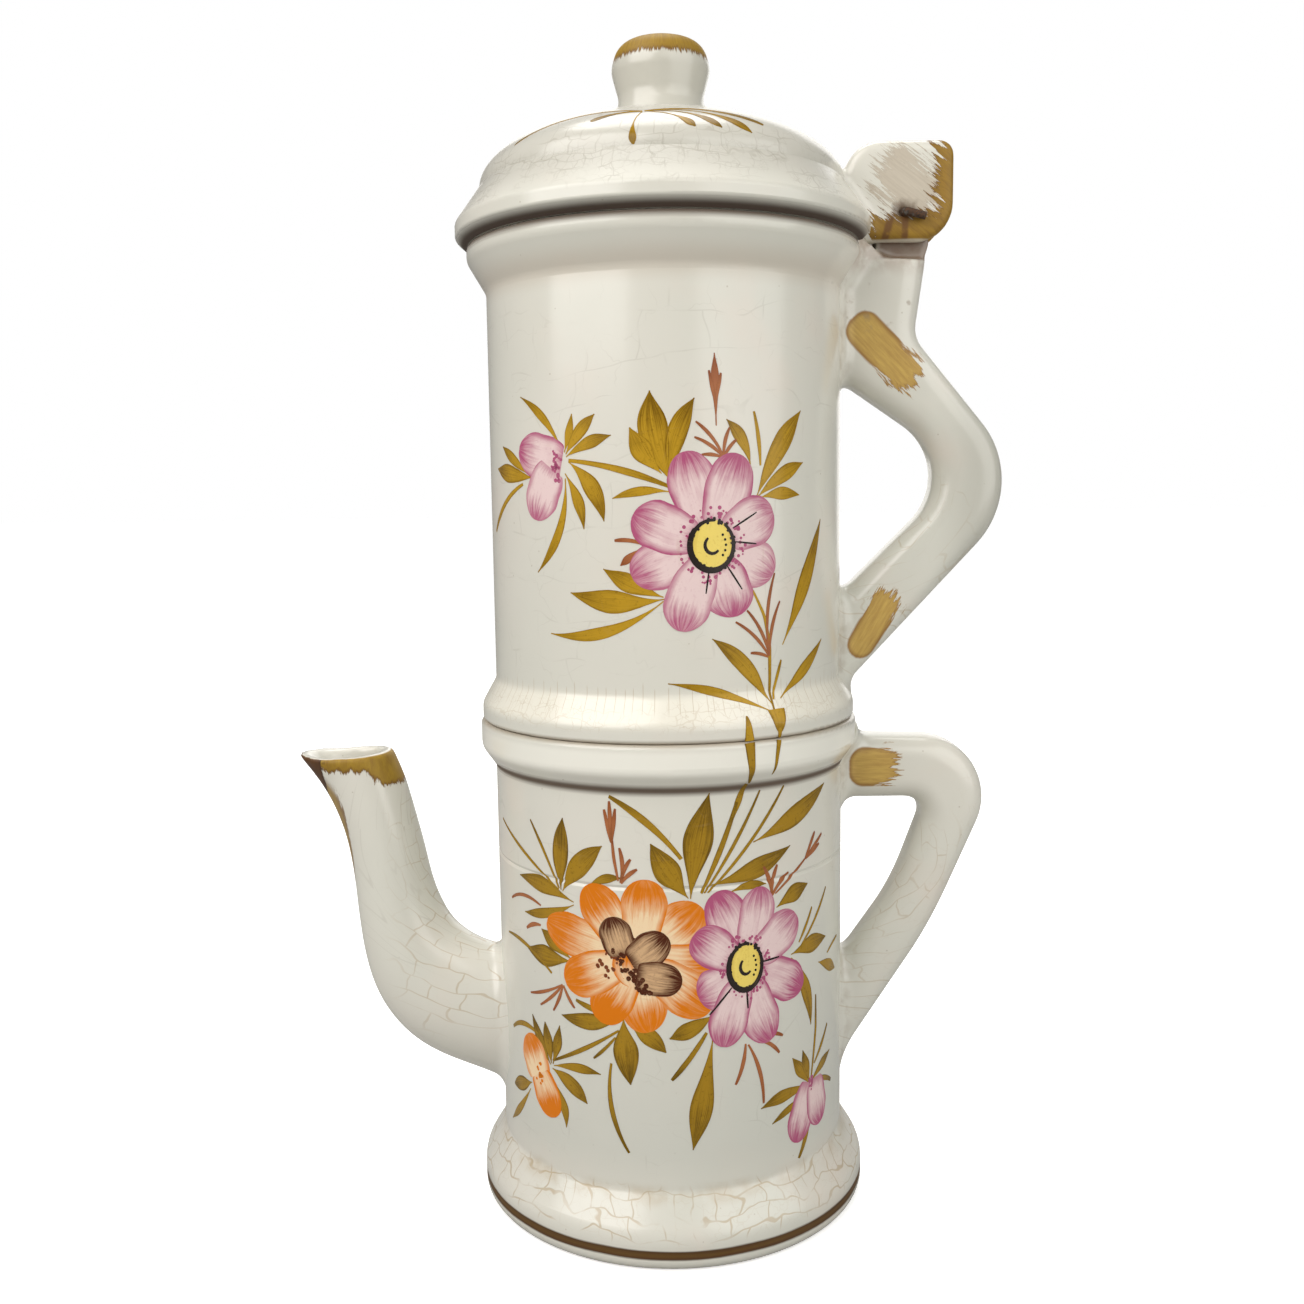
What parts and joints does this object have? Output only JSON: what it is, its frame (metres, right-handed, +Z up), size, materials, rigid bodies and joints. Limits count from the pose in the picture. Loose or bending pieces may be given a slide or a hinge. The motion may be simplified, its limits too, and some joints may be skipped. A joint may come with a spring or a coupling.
{
  "type": "drip coffee pot",
  "caption": "Tall stacked drip coffee pot in ivory crackle-glazed earthenware with painted flowers, angular handles, a curved spout and a domed lid on a wire hinge.",
  "frame": {"origin": "centre of the foot on the table", "axes": "+Z up along the pot's axis, +X towards the handles and the lid's hinge, so the spout points to -X"},
  "size_m": [0.2102, 0.1192, 0.3373],
  "materials": {
    "ivory_glaze": "gloss",
    "iron_wire": "rusted"
  },
  "bodies": {
    "lower_pot": {"pot_body": "ivory_glaze", "pouring_spout": "ivory_glaze", "pot_handle": "ivory_glaze"},
    "drip_tier": {"drip_vessel": "ivory_glaze", "sieve_floor": "ivory_glaze", "vessel_handle": "ivory_glaze"},
    "lid": {"lid_dome": "ivory_glaze", "lid_knob": "ivory_glaze", "thumb_block": "ivory_glaze", "hinge_pin": "iron_wire"},
    "water_spreader": {"spreader_plate": "ivory_glaze", "spreader_knob": "ivory_glaze"}
  },
  "joints": [
    {"name": "drip_tier_lift", "type": "slide", "parent": "lower_pot", "child": "drip_tier", "axis": [0, 0, 1], "range_m": [0, 0.06]},
    {"name": "lid_hinge", "type": "hinge", "parent": "drip_tier", "child": "lid", "pos_m": [0.0682, 0, 0.288], "axis": [0, 1, 0], "range_deg": [0, 58]},
    {"name": "spreader_lift", "type": "slide", "parent": "drip_tier", "child": "water_spreader", "axis": [0, 0, 1], "range_m": [0, 0.11]}
  ]
}
